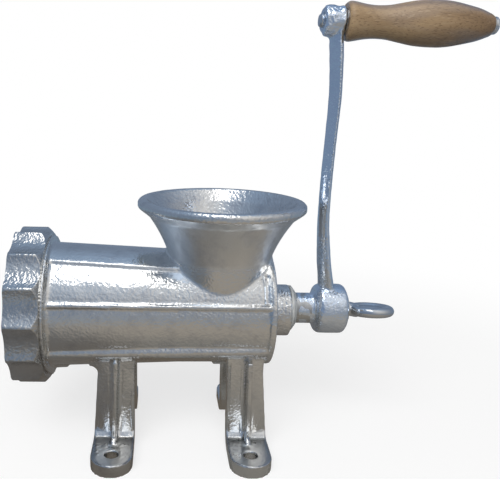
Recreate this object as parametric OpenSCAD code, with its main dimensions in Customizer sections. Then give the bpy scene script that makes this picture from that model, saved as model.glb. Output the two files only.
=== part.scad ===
// Hand crank meat grinder: a cast body on four bolt-down legs, a worm that the crank turns,
// a knife and a perforated plate behind a screwed ring nut, and a wooden grip.
// Millimetres, +Z up, +X from the ring nut towards the crank.
// The origin is the middle of the four foot bolts, on the plane that the feet stand on.

/* [Stand] */
// Distance between the front and the rear foot bolts, along the barrel
foot_bolt_x = 82; // [74:0.5:100]
// Distance between the foot bolts across the barrel
foot_bolt_y = 85; // [78:0.5:110]
// Diameter of each foot bolt hole
foot_hole_d = 8; // [5:0.5:10]
// Width of each foot, and diameter of its round end
foot_w = 25; // [20:0.5:28]
// Thickness of each foot
foot_t = 8; // [5:0.5:12]
// Height of the barrel's axis above the stand
axis_h = 85.5; // [78:0.5:110]
// Distance of the leg plates' outer faces from the middle plane
leg_out_y = 24; // [21:0.5:28]
// Thickness of each leg plate
leg_t = 7; // [5:0.5:9]
// Width of each leg plate at its waist
leg_w = 22; // [16:0.5:24]
// Height of the leg's waist above the stand
leg_waist_h = 50; // [40:1:56]
// Radius of the flare where a front leg meets the barrel
leg_flare_r = 5; // [2:0.5:7]
// Radius of the heel between the inside of a leg and the sole of its foot
leg_heel_r = 12; // [6:0.5:14]
// How far the rear leg plates lie towards the front of their ribs
rear_leg_offset = 1.5; // [0:0.5:3]
// How far a leg leans outwards along the barrel, from its top to its foot
leg_lean = 1.5; // [0:0.5:6]
// Thickness of the upright rib on each leg
leg_rib_t = 3; // [2:0.5:5]
// How far the rib stands out of the leg plate
leg_rib_out = 8.5; // [4:0.5:10]

/* [Barrel] */
// Diameter of the bore that the worm turns in
bore_d = 58; // [54:0.5:59]
// Outer diameter of the barrel at its front flange
barrel_front_d = 75; // [72:0.2:80]
// Outer diameter of the barrel under the hopper
barrel_mid_d = 68.6; // [67:0.2:76]
// Outer diameter of the barrel at its rear
barrel_rear_d = 67.4; // [66:0.2:75]
// How far behind the neck's front the barrel turns from a cone to nearly straight
barrel_knee_inset = 6; // [2:1:14]
// Distance from the front foot bolts to the front of the flange
front_overhang = 39.5; // [34:0.5:60]
// Distance from the rear foot bolts to the rear face of the barrel
rear_overhang = 12.5; // [10:0.5:40]
// Thickness of the wall that closes the barrel's rear
rear_wall_t = 5; // [3:0.5:8]
// Diameter of the flange behind the ring nut
flange_d = 86; // [85:0.2:90]
// Thickness of the flange
flange_t = 1.5; // [1.5:0.5:6]
// Radius of the fillet between flange and barrel
flange_fillet_r = 3; // [1:0.5:4]
// Height of the raised band along the top of the barrel
band_rise = 1.5; // [0.5:0.1:2.5]
// Width of the raised band
band_w = 40; // [24:1:50]
// Height of the narrow rib along each side
side_rib_rise = 1.3; // [0.5:0.1:3]
// Thickness of the side rib
side_rib_t = 2.2; // [1:0.1:4]
// Angle of the side rib above the horizontal
side_rib_angle = 18; // [10:1:24]
// Diameter of the round rail that the legs hang from
rail_d = 10; // [6:0.5:14]
// Angle of the rail below the horizontal
rail_angle = 33; // [28:1:38]
// How far the rail stands out of the barrel
rail_rise = 1.6; // [0.5:0.1:3]
// Height of the rim around the barrel's rear edge
rear_rim_rise = 1.2; // [0.5:0.1:3]
// Width of the rear rim
rear_rim_w = 3.5; // [2:0.5:6]
// Depth of the hollow in front of the rear rim
rear_hollow_depth = 1.4; // [0.5:0.1:1.5]
// Width of that hollow
rear_hollow_w = 4; // [2:0.5:8]
// Height of that hollow
rear_hollow_h = 18; // [8:1:22]
// Angle of that hollow's middle above the horizontal
rear_hollow_angle = 37; // [30:1:44]
// Length of the two pads under the barrel, behind the flange and ahead of the rear legs
pad_l = 9; // [4:0.5:14]
// Width of those pads
pad_w = 24; // [10:1:34]
// Height of those pads
pad_rise = 1.6; // [0.5:0.1:2.5]

/* [Hopper] */
// Distance from the barrel's rear face to the hopper's neck
hopper_setback = 1; // [0.5:0.5:20]
// Height of the hopper's rim above the barrel's axis
hopper_h = 67.5; // [60:0.5:90]
// Outer diameter of the rim
rim_d = 100.5; // [92:0.5:110]
// Height of the rim's upright edge
rim_edge_h = 4.5; // [3:0.5:8]
// Bevel at the rim's top edge
rim_bevel = 1.5; // [0.5:0.5:2.5]
// Height of the slope under the rim
rim_slope_h = 5; // [3:0.5:8]
// Outer diameter just under the rim's slope
cone_top_d = 87.5; // [80:0.5:92]
// How far the cone curves in between its top and the neck
cone_hollow = 1.2; // [0:0.1:2.5]
// Outer diameter of the hopper's neck
neck_d = 61; // [56:0.5:61]
// How much narrower the neck is at the axis than at its top
neck_taper = 3; // [0:0.5:4]
// How much wider the neck is where it meets the cone
neck_swell = 0.8; // [0:0.2:1.5]
// Height above the axis where the cone meets the neck
neck_top_h = 34; // [30:0.5:44]
// Thickness of the hopper's wall
hopper_wall_t = 4.5; // [3:0.5:6]

/* [Rear bearing] */
// Diameter of the boss on the rear wall
boss_d = 32; // [29:0.5:40]
// Length of the boss
boss_l = 12.7; // [8:0.1:20]
// How far the boss's centre lies below the axis
boss_drop = 1.6; // [0:0.2:3]
// Wall thickness of the bush's sleeve
bush_wall_t = 2; // [1:0.5:3]
// Diameter of the bush's flange
bush_flange_d = 28; // [26:0.5:36]
// Thickness of the bush's flange at its middle
bush_flange_t = 3.6; // [2:0.2:6]
// Thickness of the flange at its rim
bush_rim_t = 1.4; // [0.5:0.1:2]
// Outer diameter of the thrust washer inside the barrel
thrust_washer_d = 34; // [28:0.5:44]
// Thickness of the thrust washer
thrust_washer_t = 2; // [1:0.5:4]

/* [Worm] */
// Diameter of the worm's core at the front
worm_core_front_d = 31; // [27:0.5:38]
// Diameter of the worm's core at the rear
worm_core_rear_d = 28; // [26:0.5:30]
// Distance along the axis for one turn of the flight
worm_pitch = 34; // [28:1:48]
// Angle that the flight's rim takes up around the axis
worm_rim_angle = 50; // [30:2:90]
// Angle that the flight's root takes up around the axis
worm_root_angle = 96; // [92:2:140]
// Diameter of the steel shaft
shaft_d = 19; // [16:0.5:20]
// Length of the shaft inside the worm
shaft_in_worm = 60; // [40:1:90]
// Length of round shaft between the bush and the crank
shaft_out = 9.5; // [4:0.5:20]
// Width across the flats of the square that drives the crank
drive_square = 12.5; // [10:0.5:13]
// Diameter of the spring pin through worm and shaft
cross_pin_d = 5; // [3:0.5:6]
// Length of the spring pin
cross_pin_l = 24; // [20:0.5:26]
// Distance of the spring pin from the worm's rear end
cross_pin_inset = 16; // [8:1:30]

/* [Knife and plate] */
// Width across the flats of the stud's square
stud_square = 9.6; // [8:0.2:12]
// Diameter of the stud's shank in the worm
stud_shank_d = 12; // [10:0.5:14]
// Length of the stud's shank
stud_shank_l = 20; // [12:1:40]
// Diameter of the stud's pilot in the plate
stud_pilot_d = 8; // [6:0.5:9]
// Thickness of the knife
knife_t = 9; // [7:0.5:12]
// Number of blades
knife_blades = 4; // [3:1:4]
// Width of a blade
knife_blade_w = 8.5; // [6:0.5:11]
// Diameter of the knife's hub
knife_hub_d = 22; // [18:0.5:28]
// Diameter of the cutting plate
plate_d = 70; // [68:0.5:74]
// Thickness of the cutting plate
plate_t = 7; // [5:0.5:9]
// Diameter of the plate's mincing holes
mince_hole_d = 7; // [4:0.5:8]
// Number of mincing holes in the inner ring
mince_inner_count = 6; // [5:1:7]
// Distance between two rings of mincing holes
mince_ring_step = 9; // [8.5:0.25:9.5]
// Radius of the inner ring of mincing holes
mince_inner_r = 11; // [10:0.5:12]
// Diameter of the pin that stops the plate turning
plate_pin_d = 4; // [3:0.5:5]
// Length of that pin
plate_pin_l = 11; // [8:0.5:14]

/* [Ring nut] */
// Wall of the nut between its thread and the bottom of its hollows
nut_wall_t = 2.6; // [2.2:0.2:8]
// Depth of the nut's hollows
nut_lobe_h = 3.6; // [2:0.1:5]
// Number of crests around the nut
nut_lobes = 14; // [8:1:20]
// Angle of one crest above the horizontal
nut_lobe_angle = 3; // [0:1:24]
// Width of the narrow land on each crest
nut_crest_w = 1.2; // [0.6:0.2:3]
// Length of the nut
nut_l = 19.2; // [17:0.2:26]
// Length of the slope at the nut's rear
nut_slope_l = 3; // [1:0.2:4]
// How far the slope falls from the crests
nut_slope_h = 3; // [1:0.2:4]
// Thickness of the front lip that holds the plate
nut_lip_t = 4.6; // [4.4:0.2:7]
// Diameter of the opening in front of the plate
outlet_d = 63; // [60:0.5:66]
// Outer diameter of the body's thread, and bore of the nut less its clearance
thread_d = 83; // [81:0.5:84]
// How far the plate stands out of the body's mouth
plate_proud = 2; // [1:0.5:4]

/* [Crank] */
// Distance between the axes of the shaft and the grip
crank_radius = 169; // [120:0.5:220]
// Diameter of the crank's hub
crank_hub_d = 31; // [28:0.2:38]
// Length of the hub
crank_hub_l = 22; // [16:0.2:30]
// Radius of the hub's rounded rear edge
crank_hub_round = 3.5; // [1:0.5:5]
// Radius of the hub's rounded front edge
crank_hub_front_round = 6; // [1:0.5:6]
// Thickness of the arm along the shaft, at its middle
arm_t = 6.2; // [5:0.2:8.4]
// Width of the arm at its middle
arm_w = 14; // [10:0.5:18]
// Diameter of the eye that holds the grip's spindle
eye_d = 17; // [15:0.5:24]
// Length of the eye
eye_l = 12; // [8:0.5:20]
// Distance the eye is set back from the hub's middle, towards the barrel
eye_setback = 10.5; // [8:0.2:16]

/* [Grip] */
// Diameter of the spindle
spindle_d = 8; // [6:0.5:8.5]
// Diameter of the spindle's head
spindle_head_d = 9.6; // [9:0.2:12]
// Height of the spindle's head
spindle_head_h = 3; // [2:0.5:5]
// Length of the wooden grip
grip_l = 83; // [60:0.5:110]
// Diameter of the grip's inner end
grip_start_d = 21.4; // [18:0.2:28]
// Diameter of the grip's waist
grip_waist_d = 17.6; // [15:0.2:22]
// Greatest diameter of the grip
grip_belly_d = 25; // [22:0.2:32]
// Diameter of the grip's outer end
grip_end_d = 10.2; // [10:0.2:13]
// Thickness of each grip washer
grip_washer_t = 0.6; // [0.5:0.1:2]
// Outer diameter of the inner grip washer
grip_inner_washer_d = 14; // [12:0.5:18]

/* [Thumb screw] */
// Diameter of the thumb screw's thread
thumb_thread_d = 9.9; // [7.9:0.1:9.9]
// Length of its thread in the shaft
thumb_thread_l = 22; // [14:1:28]
// Outer diameter of the spade
spade_d = 29; // [20:0.5:34]
// Thickness of the spade's rim
spade_rim_t = 6.4; // [5:0.2:8]
// Thickness of the web inside the rim
spade_web_t = 3.6; // [2:0.2:5]
// Diameter of the spade's stem
spade_stem_d = 9; // [7:0.5:11]
// Length of the stem between the washer and the spade's rim
spade_stem_l = 1.6; // [1:0.2:6]
// How far the spade's near side is turned up from the horizontal
spade_turn = 10; // [0:1:80]
// Diameter of the washer under the thumb screw
thumb_washer_d = 20; // [18:0.5:24]
// Thickness of that washer
thumb_washer_t = 1; // [0.6:0.1:2]

/* [Fits] */
// Radial clearance of a turning fit
running = 0.05; // [0.02:0.01:0.1]
// Radial clearance of a loose fit
loose = 0.3; // [0.25:0.05:0.5]
// Radial clearance of the worm's flight in the bore
worm_gap = 0.5; // [0.3:0.1:1]
// Radial clearance of the knife's blades in the bore
knife_gap = 1; // [0.5:0.1:3]
// Gap between two flat faces that slide on each other
face_gap = 0.1; // [0.05:0.05:0.3]

/* [Hidden] */
$fn = 96;

// Stations along the axis, from front to rear
front_leg_x = -foot_bolt_x / 2;
rear_leg_x = foot_bolt_x / 2;
flange_x = front_leg_x - front_overhang;
rear_x = rear_leg_x + rear_overhang;
hopper_x = rear_x - hopper_setback - neck_d / 2;
nut_rear_x = flange_x - loose;
nut_front_x = nut_rear_x - nut_l;
plate_front_x = nut_front_x + nut_lip_t + face_gap;
plate_rear_x = plate_front_x + plate_t;
nut_crest_rear_x = nut_rear_x - nut_slope_l;
mouth_x = plate_front_x + plate_proud;
seat_x = plate_rear_x + loose;
knife_front_x = plate_rear_x + face_gap;
knife_rear_x = knife_front_x + knife_t;
bore_rear_x = rear_x - rear_wall_t;
worm_rear_x = bore_rear_x - thrust_washer_t - face_gap;
bush_face_x = rear_x + boss_l + bush_flange_t;
hub_front_x = bush_face_x + shaft_out;
hub_rear_x = hub_front_x + crank_hub_l;
shaft_rear_x = hub_rear_x - 2;
washer_front_x = hub_rear_x + face_gap;
washer_rear_x = washer_front_x + thumb_washer_t;
eye_mid_x = (hub_front_x + hub_rear_x) / 2 - eye_setback;
eye_rear_x = eye_mid_x + eye_l / 2;
eye_front_x = eye_mid_x - eye_l / 2;
grip_front_x = eye_rear_x + grip_washer_t + 2 * face_gap;
grip_rear_x = grip_front_x + grip_l;
head_front_x = grip_rear_x + grip_washer_t + 2 * face_gap;

// The barrel is a cone ahead of the hopper and nearly straight under it
barrel_knee_x = hopper_x - neck_d / 2 + barrel_knee_inset;
knife_d = bore_d - 2 * knife_gap;
bush_sleeve_d = shaft_d + 2 * running + 2 * bush_wall_t;
thread_bore_d = thread_d + 2 * loose;
nut_valley_d = thread_bore_d + 2 * nut_wall_t;
nut_d = nut_valley_d + 2 * nut_lobe_h;
crest_half_w = nut_d / 2 * sin(180 / nut_lobes) - nut_crest_w / 2;
crest_drop = max(0.4, sqrt(nut_d * nut_d / 4 - crest_half_w * crest_half_w) - nut_valley_d / 2);
nut_hollow_r = (crest_half_w * crest_half_w + crest_drop * crest_drop) / (2 * crest_drop);
seat_d = plate_d + 2 * loose;
pin_r = seat_d / 2 - plate_pin_d / 4;
castings = "Silver";

function barrel_r(x) =
    x < barrel_knee_x
    ? barrel_front_d / 2 + (barrel_mid_d - barrel_front_d) / 2 * (x - flange_x) / (barrel_knee_x - flange_x)
    : barrel_mid_d / 2 + (barrel_rear_d - barrel_mid_d) / 2 * (x - barrel_knee_x) / (rear_x - barrel_knee_x);

// Points along an arc, for outlines
function arc(cx, cy, r, from, to, steps = 8) =
    [for (i = [0:steps]) [cx + r * cos(from + (to - from) * i / steps), cy + r * sin(from + (to - from) * i / steps)]];

// Moves a shape drawn around the barrel's axis up to the axis
module on_axis() {
    translate([0, 0, axis_h]) children();
}

// A round rod along X
module rod(d, x0, x1) {
    translate([x0, 0, 0]) rotate([0, 90, 0]) cylinder(d = d, h = x1 - x0);
}

// A body of revolution around X from points [x, radius]
module turned(outline) {
    rotate([0, 90, 0]) rotate_extrude() polygon([for (p = outline) [p[1], p[0]]]);
}

// Everything on one side of the barrel, and again on the other
module both_sides() {
    children();
    mirror([0, 1, 0]) children();
}

// A radial slab at an angle above the horizontal
module slab(angle, w, x0, x1) {
    rotate([-angle, 0, 0]) translate([x0, -rim_d, -w / 2]) cube([x1 - x0, rim_d, w]);
}

// The barrel's outer surface, raised by a given amount
module barrel_skin(rise) {
    turned([
        [flange_x, 0],
        [flange_x, barrel_r(flange_x) + rise],
        [barrel_knee_x, barrel_r(barrel_knee_x) + rise],
        [rear_x, barrel_r(rear_x) + rise],
        [rear_x, 0]
    ]);
}

module flange() {
    rear = flange_x + flange_t;
    foot_r = barrel_r(rear + flange_fillet_r);
    turned(concat(
        [[flange_x, 0], [flange_x, flange_d / 2], [rear, flange_d / 2]],
        arc(rear + flange_fillet_r, foot_r + flange_fillet_r, flange_fillet_r, 180, 270),
        [[rear + flange_fillet_r, 0]]
    ));
}

// The round rails, straight from the flange to a round end at the rear rim
module rail() {
    x0 = flange_x + flange_t;
    x1 = rear_x - rail_d / 2;
    r0 = barrel_r(x0) + rail_rise - rail_d / 2;
    r1 = barrel_r(x1) + rail_rise - rail_d / 2;
    tilt = atan((r0 - r1) / (x1 - x0));
    rail_l = (x1 - x0) / cos(tilt);
    rotate([rail_angle, 0, 0]) translate([x0, -r0, 0]) rotate([0, 0, tilt])
        turned(concat([[0, 0], [0, rail_d / 2]], arc(rail_l, 0, rail_d / 2, 90, 0)));
}

leg_top_h = axis_h - leg_out_y;
leg_in_y = leg_out_y - leg_t;

// A point of a leg's outline [distance from its rib, height], moved by the leg's lean
function leaned(x, h) = [x - leg_lean * h / leg_top_h, h];

// One leg, with its foot bolt at x = 0 and leaning towards +X as it goes down
module leg(flare_r, offset) {
    half_w = leg_w / 2;
    plate = concat(
        [leaned(-foot_w / 2, 0), leaned(foot_w / 2, 0), leaned(foot_w / 2, foot_t)],
        [leaned(half_w - offset, leg_waist_h)],
        [for (a = [15:15:90]) leaned(half_w - offset + flare_r * (1 - cos(a)), leg_waist_h + flare_r * sin(a))],
        [leaned(half_w - offset + flare_r, leg_top_h), leaned(-half_w - offset, leg_top_h)],
        [leaned(-half_w - offset, leg_waist_h), leaned(-foot_w / 2, foot_t)]
    );
    rib = [
        leaned(leg_rib_t / 2, foot_t / 2), leaned(leg_rib_t / 2, leg_top_h),
        leaned(-leg_rib_t / 2, leg_top_h), leaned(-leg_rib_t / 2, foot_t / 2)
    ];
    difference() {
        union() {
            translate([0, -leg_in_y, 0]) rotate([90, 0, 0]) linear_extrude(leg_t) polygon(plate);
            translate([0, -leg_out_y + leg_t / 2, 0]) rotate([90, 0, 0])
                linear_extrude(leg_rib_out + leg_t / 2) polygon(rib);
            translate([-foot_w / 2, -foot_bolt_y / 2, 0])
                cube([foot_w, foot_bolt_y / 2 - leg_in_y, foot_t]);
            translate([0, -foot_bolt_y / 2, 0]) cylinder(d = foot_w, h = foot_t);
        }
        translate([0, -foot_bolt_y / 2, -1]) cylinder(d = foot_hole_d, h = foot_t + 2);
        difference() {
            translate([-foot_w, -leg_in_y - leg_heel_r, -1]) cube([2 * foot_w, leg_heel_r + 1, leg_heel_r + 1]);
            translate([-foot_w, -leg_in_y - leg_heel_r, leg_heel_r]) rotate([0, 90, 0])
                cylinder(r = leg_heel_r, h = 2 * foot_w);
        }
    }
}

module legs() {
    both_sides() {
        translate([rear_leg_x, 0, 0]) leg(0, rear_leg_offset);
        translate([front_leg_x, 0, 0]) mirror([1, 0, 0]) leg(leg_flare_r, 0);
    }
}

// Outer and inner surfaces of the hopper around its own axis, as [radius, height]
module hopper_outside() {
    edge_r = rim_d / 2;
    edge_low = hopper_h - rim_edge_h;
    cone_top = edge_low - rim_slope_h;
    cone_r = neck_d / 2 + neck_swell;
    cone = [for (t = [0:1 / 6:1.01]) [
        cone_r + (cone_top_d / 2 - cone_r) * t - 4 * cone_hollow * t * (1 - t),
        neck_top_h + (cone_top - neck_top_h) * t
    ]];
    rotate_extrude() polygon(concat(
        [[0, 0], [neck_d / 2 - neck_taper, 0]],
        cone,
        [[edge_r, edge_low], [edge_r, hopper_h - rim_bevel], [edge_r - rim_bevel, hopper_h], [0, hopper_h]]
    ));
}

module hopper_inside() {
    wall = hopper_wall_t;
    rotate_extrude() polygon([
        [0, 0],
        [neck_d / 2 - wall, 0],
        [neck_d / 2 - wall, neck_top_h],
        [cone_top_d / 2 - wall, hopper_h - rim_edge_h - rim_slope_h + wall / 2],
        [rim_d / 2 - wall, hopper_h + 1],
        [0, hopper_h + 1]
    ]);
}

module rear_hollow() {
    x1 = rear_x - rear_rim_w;
    x0 = x1 - rear_hollow_w;
    inner_r = barrel_r(x0) - rear_hollow_depth;
    both_sides() intersection() {
        turned([[x0, inner_r], [x1, inner_r], [x1, flange_d / 2], [x0, flange_d / 2]]);
        slab(rear_hollow_angle, rear_hollow_h, x0, x1);
    }
}

module pad(x) {
    intersection() {
        barrel_skin(pad_rise);
        translate([x, -pad_w / 2, -rim_d]) cube([pad_l, pad_w, rim_d]);
    }
}

module body_casting() color(castings) {
    legs();
    on_axis() difference() {
        union() {
            barrel_skin(0);
            flange();
            rod(thread_d, mouth_x, flange_x + 1);
            difference() {
                intersection() {
                    barrel_skin(band_rise);
                    translate([flange_x, -band_w / 2, 0]) cube([hopper_x - flange_x, band_w, rim_d]);
                }
                rod(bore_d, flange_x - 1, rear_x + 1);
            }
            pad(flange_x + flange_t);
            pad(rear_leg_x - foot_w / 2 - pad_l);
            both_sides() {
                intersection() {
                    barrel_skin(side_rib_rise);
                    slab(side_rib_angle, side_rib_t, flange_x, rear_x);
                }
                rail();
            }
            turned([
                [rear_x - rear_rim_w, 0], [rear_x - rear_rim_w, barrel_r(rear_x) + rear_rim_rise],
                [rear_x, barrel_r(rear_x) + rear_rim_rise], [rear_x, 0]
            ]);
            translate([hopper_x, 0, 0]) hopper_outside();
            translate([0, 0, -boss_drop]) rod(boss_d, rear_x - 1, rear_x + boss_l);
        }
        rear_hollow();
        rod(bore_d, mouth_x - 1, bore_rear_x);
        rod(seat_d, mouth_x - 1, seat_x);
        translate([hopper_x, 0, 0]) hopper_inside();
        rod(bush_sleeve_d, bore_rear_x - 1, rear_x + boss_l + 1);
        translate([0, 0, -pin_r]) rod(plate_pin_d, mouth_x - 1, mouth_x + plate_pin_l);
    }
}

// Flanged bearing, pressed into the boss
module rear_bush() color("WhiteSmoke") on_axis() difference() {
    union() {
        rod(bush_sleeve_d, bore_rear_x, rear_x + boss_l + 0.5);
        turned([
            [rear_x + boss_l, 0], [rear_x + boss_l, bush_flange_d / 2],
            [rear_x + boss_l + bush_rim_t, bush_flange_d / 2], [bush_face_x, bush_sleeve_d / 2 - 0.5],
            [bush_face_x, 0]
        ]);
    }
    rod(shaft_d + 2 * running, bore_rear_x - 1, bush_face_x + 1);
}

module thrust_washer() color("SaddleBrown") on_axis() difference() {
    rod(thrust_washer_d, bore_rear_x - thrust_washer_t, bore_rear_x);
    rod(shaft_d + 2 * loose, bore_rear_x - thrust_washer_t - 1, bore_rear_x + 1);
}

// Pin in the body's mouth that the plate's notch slides on
module plate_pin() color("DimGray") on_axis() {
    translate([0, 0, -pin_r]) rod(plate_pin_d, mouth_x, mouth_x + plate_pin_l);
}

// Outline of the flight, seen along the axis
module flight_outline() {
    rim_r = bore_d / 2 - worm_gap;
    root_r = worm_core_rear_d / 2 - 1;
    polygon(concat(
        arc(0, 0, rim_r, -worm_rim_angle / 2, worm_rim_angle / 2, 7),
        arc(0, 0, root_r, worm_root_angle / 2, -worm_root_angle / 2, 7)
    ));
}

module auger_worm() color("LightSteelBlue") on_axis() {
    worm_l = worm_rear_x - knife_rear_x;
    turns = worm_l / worm_pitch;
    difference() {
        union() {
            turned([
                [knife_rear_x, 0], [knife_rear_x, worm_core_front_d / 2],
                [worm_rear_x, worm_core_rear_d / 2], [worm_rear_x, 0]
            ]);
            translate([knife_rear_x, 0, 0]) rotate([0, 90, 0])
                linear_extrude(worm_l, twist = 360 * turns, slices = ceil(turns * 24), $fn = 24) flight_outline();
        }
        rod(shaft_d, worm_rear_x - shaft_in_worm, worm_rear_x + 1);
        rod(stud_shank_d, knife_rear_x - 1, knife_rear_x + stud_shank_l);
        cross_pin_hole(cross_pin_l + 6);
    }
}

module cross_pin_hole(l) {
    translate([worm_rear_x - cross_pin_inset, 0, 0]) rotate([90, 0, 0])
        cylinder(d = cross_pin_d, h = l, center = true);
}

// Shaft with a round journal, a square for the crank and a threaded end
module auger_shaft() color("DarkGray") on_axis() difference() {
    union() {
        rod(shaft_d, worm_rear_x - shaft_in_worm, hub_front_x);
        translate([hub_front_x - 1, -drive_square / 2, -drive_square / 2])
            cube([shaft_rear_x - hub_front_x + 1, drive_square, drive_square]);
    }
    rod(thumb_thread_d + 2 * running, washer_rear_x - thumb_thread_l - 1, shaft_rear_x + 1);
    cross_pin_hole(shaft_d + 2);
}

module auger_pin() color("DimGray") on_axis() {
    cross_pin_hole(cross_pin_l);
}

// Stud that drives the knife and centres the plate
module knife_stud() color("DarkGray") on_axis() {
    rod(stud_shank_d, knife_rear_x, knife_rear_x + stud_shank_l);
    translate([knife_front_x, -stud_square / 2, -stud_square / 2])
        cube([knife_t + 1, stud_square, stud_square]);
    turned([
        [knife_front_x + 1, 0], [knife_front_x + 1, stud_pilot_d / 2],
        [plate_front_x + 1, stud_pilot_d / 2], [plate_front_x, stud_pilot_d / 2 - 1], [plate_front_x, 0]
    ]);
}

// Cross-shaped knife; the flat of each blade lies against the plate
module knife() color("Gainsboro") on_axis() difference() {
    intersection() {
        union() {
            rod(knife_hub_d, knife_front_x, knife_rear_x);
            for (i = [0:knife_blades - 1]) rotate([i * 360 / knife_blades, 0, 0]) difference() {
                translate([knife_front_x, -knife_blade_w / 2, 0]) cube([knife_t, knife_blade_w, knife_d / 2]);
                translate([knife_front_x + 3, knife_blade_w / 2, knife_hub_d / 2 + 1]) rotate([0, 0, 40])
                    cube([knife_t * 2, knife_blade_w, knife_d]);
            }
        }
        rod(knife_d, knife_front_x, knife_rear_x);
    }
    translate([knife_front_x - 1, -stud_square / 2, -stud_square / 2])
        cube([knife_t + 2, stud_square, stud_square]);
}

module cutting_plate() color("Gainsboro") on_axis() difference() {
    rod(plate_d, plate_front_x, plate_rear_x);
    rod(stud_pilot_d + 2 * running, plate_front_x - 1, plate_rear_x + 1);
    for (ring = [0:2]) for (i = [0:mince_inner_count * (ring + 1) - 1])
        rotate([(i + 0.5) * 360 / (mince_inner_count * (ring + 1)), 0, 0])
            translate([0, 0, mince_inner_r + ring * mince_ring_step])
                rod(mince_hole_d, plate_front_x - 1, plate_rear_x + 1);
    translate([plate_front_x - 1, -plate_pin_d / 2 - loose, -plate_d])
        cube([plate_t + 2, plate_pin_d + 2 * loose, plate_d - pin_r + plate_pin_d / 2 + loose]);
}

// Scalloped nut: each hollow is as wide as the crests are apart, which leaves them sharp
module ring_nut() color("LightSteelBlue") on_axis() difference() {
    turned([
        [nut_front_x, 0], [nut_front_x, nut_d / 2 - 1.2], [nut_front_x + 1.2, nut_d / 2],
        [nut_crest_rear_x, nut_d / 2], [nut_rear_x, nut_d / 2 - nut_slope_h], [nut_rear_x, 0]
    ]);
    for (i = [0:nut_lobes - 1])
        rotate([-nut_lobe_angle + (i + 0.5) * 360 / nut_lobes, 0, 0])
            translate([0, -nut_valley_d / 2 - nut_hollow_r, 0])
                rod(2 * nut_hollow_r, nut_front_x - 1, nut_rear_x + 1);
    rod(thread_bore_d, nut_front_x + nut_lip_t, nut_rear_x + 1);
    rod(outlet_d, nut_front_x - 1, nut_rear_x);
    turned([
        [nut_front_x - 1, 0], [nut_front_x - 1, outlet_d / 2 + 2.5],
        [nut_front_x + 1.5, outlet_d / 2], [nut_front_x + 1.5, 0]
    ]);
}

// Stations of the arm: [share of the radius, share of the eye's setback, thickness, width]
hub_mid_x = (hub_front_x + hub_rear_x) / 2;
arm_stations = [
    [0.05, 0.05, 1.50, 1.60], [0.13, 0.22, 1.40, 1.36], [0.22, 0.47, 1.24, 1.16], [0.33, 0.63, 1.02, 1.04],
    [0.61, 0.62, 1.00, 1.00], [0.76, 0.57, 1.08, 1.00], [0.88, 0.68, 1.18, 1.00], [0.97, 0.87, 1.30, 1.04]
];

// Eight-sided section of the arm, with its ridges towards the sides
module arm_section(station) {
    a = station[2] * arm_t / 2;
    b = station[3] * arm_w / 2;
    half = [[a, 0.3 * b], [0.3 * a, b], [-0.3 * a, b], [-a, 0.3 * b]];
    translate([hub_mid_x - station[1] * eye_setback, 0, station[0] * crank_radius])
        linear_extrude(0.2) polygon(concat(half, [for (p = half) -p]));
}

module arm() {
    for (i = [0:len(arm_stations) - 2]) hull() {
        arm_section(arm_stations[i]);
        arm_section(arm_stations[i + 1]);
    }
}

module crank_arm() color(castings) on_axis() difference() {
    union() {
        turned(concat(
            [[hub_front_x, 0]],
            arc(
                hub_front_x + crank_hub_front_round, crank_hub_d / 2 - crank_hub_front_round,
                crank_hub_front_round, 180, 90
            ),
            arc(hub_rear_x - crank_hub_round, crank_hub_d / 2 - crank_hub_round, crank_hub_round, 90, 0),
            [[hub_rear_x, 0]]
        ));
        arm();
        translate([0, 0, crank_radius]) rod(eye_d, eye_front_x, eye_rear_x);
    }
    translate([hub_front_x - 1, -drive_square / 2 - face_gap, -drive_square / 2 - face_gap])
        cube([crank_hub_l + 2, drive_square + 2 * face_gap, drive_square + 2 * face_gap]);
    translate([0, 0, crank_radius]) rod(spindle_d, eye_front_x - 1, eye_rear_x + 1);
}

module on_grip_axis() {
    translate([0, 0, axis_h + crank_radius]) children();
}

// Spindle: riveted behind the eye, with a slotted round head at the grip's end
module grip_spindle() color("DarkGray") on_grip_axis() difference() {
    union() {
        rod(spindle_d, eye_front_x, head_front_x + 1);
        turned([
            [eye_front_x - 1.9, 0], [eye_front_x - 1.9, spindle_d / 2 - 1],
            [eye_front_x - 1, spindle_d / 2 - 0.2], [eye_front_x, spindle_d / 2 - 0.2], [eye_front_x, 0]
        ]);
        turned(concat(
            [[head_front_x, 0], [head_front_x, spindle_head_d / 2], [head_front_x + 0.8, spindle_head_d / 2]],
            [for (a = [15:15:75])
                [head_front_x + 0.8 + (spindle_head_h - 0.8) * sin(a), spindle_head_d / 2 * cos(a)]],
            [[head_front_x + spindle_head_h, 0]]
        ));
    }
    translate([head_front_x + spindle_head_h - 1.4, -spindle_head_d, -0.7]) cube([2, 2 * spindle_head_d, 1.4]);
}

module grip_washer(front_x, d) {
    on_grip_axis() difference() {
        rod(d, front_x, front_x + grip_washer_t);
        rod(spindle_d + 2 * running, front_x - 1, front_x + grip_washer_t + 1);
    }
}

module grip_inner_washer() color("Silver") grip_washer(eye_rear_x + face_gap, grip_inner_washer_d);

module grip_end_washer() color("Silver") grip_washer(grip_rear_x + face_gap, spindle_head_d);

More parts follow.
